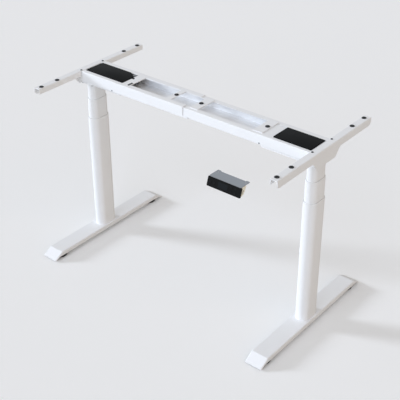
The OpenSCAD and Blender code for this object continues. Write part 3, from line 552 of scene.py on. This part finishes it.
class DESKFRAME_OT_handset(Make, bpy.types.Operator):
    """Handset with its rounded case, port insert, panel, buttons and printed legends"""
    bl_idname = "desk_frame.handset"
    bl_label = "Handset"

    def execute(self, context):
        s = settings("handset")
        case = moulded_plastic("cream_case_moulding", s.case, linear("#F5F0DF"),
                               grain=1.2 * MM, roughness=0.42)
        gloss = polished_plastic("panel_gloss", s.panel, linear("#101113"))
        cap = polished_plastic("button_gloss", linear("#121315"), linear("#1A1B1D"),
                               roughness=0.2)
        tint = polished_plastic("window_tint", linear("#14171A"), linear("#191D21"),
                                roughness=0.1)
        steel = worked_metal("hanger_steel", linear("#8E9196"), linear("#9A9DA1"),
                             roughness=0.45)
        ink = moulded_plastic("legend_ink", s.ink, linear("#C6C9CC"), grain=0.8 * MM,
                              roughness=0.5, depth=0.01 * MM)
        rounded("handset_case", s.case_round, "top_right", case)
        self.fill_port()
        dress("handset_panel", gloss)
        dress("display_window", tint)
        dress("handset_hanger", steel)
        thick = s.ink_thickness
        for key, middle in BUTTONS.items():
            dress(key, cap)
            if key in ARROW_BUTTONS:
                mark = arrow(ARROW_SIZE, thick, key == "down_button")
            else:
                mark = letter(key[-1].upper(), LETTER_HEIGHT, thick)
            print_legend("mark_" + key, mark, on_panel(*middle, BUTTON_RISE), key + "_cap",
                         ink)
        for key in ARROW_BUTTONS:
            print_legend("ring_" + key, ring(RING_OUTER, RING_INNER, thick),
                         on_panel(*BUTTONS[key], 0), "top_right", ink)
        number = display_number(NUMBER_SHOWN, DIGIT_HEIGHT, DIGIT_PITCH, thick)
        print_legend("display_number", number, on_panel(*DISPLAY_MIDDLE, 0), "top_right",
                     ink)
        return {"FINISHED"}

    def fill_port(self):
        """Black insert of the slanted port in the case's right end."""
        dark = moulded_plastic("port_insert_moulding", linear("#08090A"), linear("#0C0D0E"),
                               grain=0.8 * MM, roughness=0.5, gloss=0.1)
        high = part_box("handset_case")[1]
        spot = Matrix.Translation(high - PORT_INSET)
        turn = Matrix.Rotation(-2 * PANEL_LEAN, 4, "X")
        bm = bmesh.new()
        bmesh.ops.create_cube(bm, size=1,
                              matrix=spot @ turn @ Matrix.Diagonal((*PORT_SIZE, 1)))
        new_piece("port_insert", bm, "top_right", dark)


class DESKFRAME_OT_studio(Make, bpy.types.Operator):
    """Pale floor, room light, three suns and the camera"""
    bl_idname = "desk_frame.studio"
    bl_label = "Studio"

    def execute(self, context):
        s = settings("studio")
        self.lay_floor(s)
        self.light_room(s)
        for name, (direction, spread, hex_colour) in SUNS.items():
            self.hang_sun(name + "_light", getattr(s, name + "_strength"), direction, spread,
                          hex_colour)
        self.set_camera(s)
        context.scene.view_settings.view_transform = "Standard"
        return {"FINISHED"}

    def lay_floor(self, s):
        """A white floor as the camera sees it; for the light it is a warm pale grey."""
        bm = bmesh.new()
        bmesh.ops.create_circle(bm, cap_ends=True, segments=96, radius=FLOOR_RADIUS)
        floor = place_object("floor", to_mesh("floor", bm))
        material, tree, shader, place = new_material("studio_floor", Roughness=0.9)
        light = add(tree, "ShaderNodeLightPath")
        shade = add(tree, "ShaderNodeMix", {
            0: light.outputs["Is Camera Ray"], 6: rgba(linear("#D8D5D0")),
            7: rgba([c * (1 - s.floor_glow) for c in s.floor])}, data_type="RGBA")
        tree.links.new(shade.outputs[2], shader.inputs["Base Color"])
        glow = add(tree, "ShaderNodeMath", {0: light.outputs["Is Camera Ray"],
                                            1: s.floor_glow}, operation="MULTIPLY")
        shader.inputs["Emission Color"].default_value = rgba(s.backdrop)
        tree.links.new(glow.outputs[0], shader.inputs["Emission Strength"])
        floor.data.materials.append(material)

    def light_room(self, s):
        """The backdrop where it is seen or mirrored, and a dimmer room as light."""
        world = bpy.data.worlds.new("room")
        bpy.context.scene.world = world
        world.use_nodes = True
        tree = world.node_tree
        path = add(tree, "ShaderNodeLightPath")
        seen = add(tree, "ShaderNodeMath", {0: path.outputs["Is Camera Ray"],
                                            1: path.outputs["Is Glossy Ray"]},
                   operation="MAXIMUM")
        through = add(tree, "ShaderNodeMath", {0: seen.outputs[0],
                                               1: path.outputs["Is Transmission Ray"]},
                      operation="MAXIMUM")
        room = [c * s.sky_strength for c in linear("#FFFCF8")]
        sky = add(tree, "ShaderNodeMix", {0: through.outputs[0], 6: rgba(room),
                                          7: rgba(s.backdrop)}, data_type="RGBA")
        tree.links.new(sky.outputs[2], find(tree, "BACKGROUND").inputs["Color"])

    def hang_sun(self, name, share, direction, spread, hex_colour):
        """A far light that gives that share of white on a surface that faces it."""
        light = bpy.data.lights.new(name, "SUN")
        light.energy = share * math.pi
        light.angle = math.radians(spread)
        light.color = linear(hex_colour)
        lamp = place_object(name, light)
        lamp.rotation_euler = Vector(direction).to_track_quat("-Z", "Y").to_euler()

    def set_camera(self, s):
        camera = place_object("camera", bpy.data.cameras.new("camera"))
        camera.data.lens = s.focal_length
        camera.location = CAMERA_PLACE
        sight = CAMERA_AIM - CAMERA_PLACE
        roll = Matrix.Rotation(CAMERA_ROLL, 3, "Z").to_quaternion()
        camera.rotation_euler = (sight.to_track_quat("-Z", "Y") @ roll).to_euler()
        bpy.context.scene.camera = camera


class DESKFRAME_PT_panel(bpy.types.Panel):
    """Lists what dresses the desk frame"""
    bl_label = "Desk Frame"
    bl_space_type = "VIEW_3D"
    bl_region_type = "UI"
    bl_category = "Desk Frame"

    def draw(self, context):
        for name, group in GROUPS.items():
            box = self.layout.box()
            for prop in group.__annotations__:
                box.prop(settings(name), prop)
        for operator in OPERATORS:
            self.layout.operator(operator.bl_idname)


GROUPS = {"coat": CoatSettings, "cover": CoverSettings, "handset": HandsetSettings,
          "studio": StudioSettings}
OPERATORS = (DESKFRAME_OT_coat, DESKFRAME_OT_drive, DESKFRAME_OT_fixings,
             DESKFRAME_OT_covers, DESKFRAME_OT_handset, DESKFRAME_OT_studio)
CLASSES = (*GROUPS.values(), *OPERATORS, DESKFRAME_PT_panel)


def register():
    for cls in CLASSES:
        bpy.utils.register_class(cls)
    for name, group in GROUPS.items():
        setattr(bpy.types.Scene, "desk_frame_" + name, PointerProperty(type=group))


def unregister():
    for name in GROUPS:
        delattr(bpy.types.Scene, "desk_frame_" + name)
    for cls in reversed(CLASSES):
        bpy.utils.unregister_class(cls)


def main():
    register()
    bpy.ops.desk_frame.coat()
    bpy.ops.desk_frame.drive()
    bpy.ops.desk_frame.fixings()
    bpy.ops.desk_frame.covers()
    bpy.ops.desk_frame.handset()
    bpy.ops.desk_frame.studio()


if __name__ == "__main__":
    main()
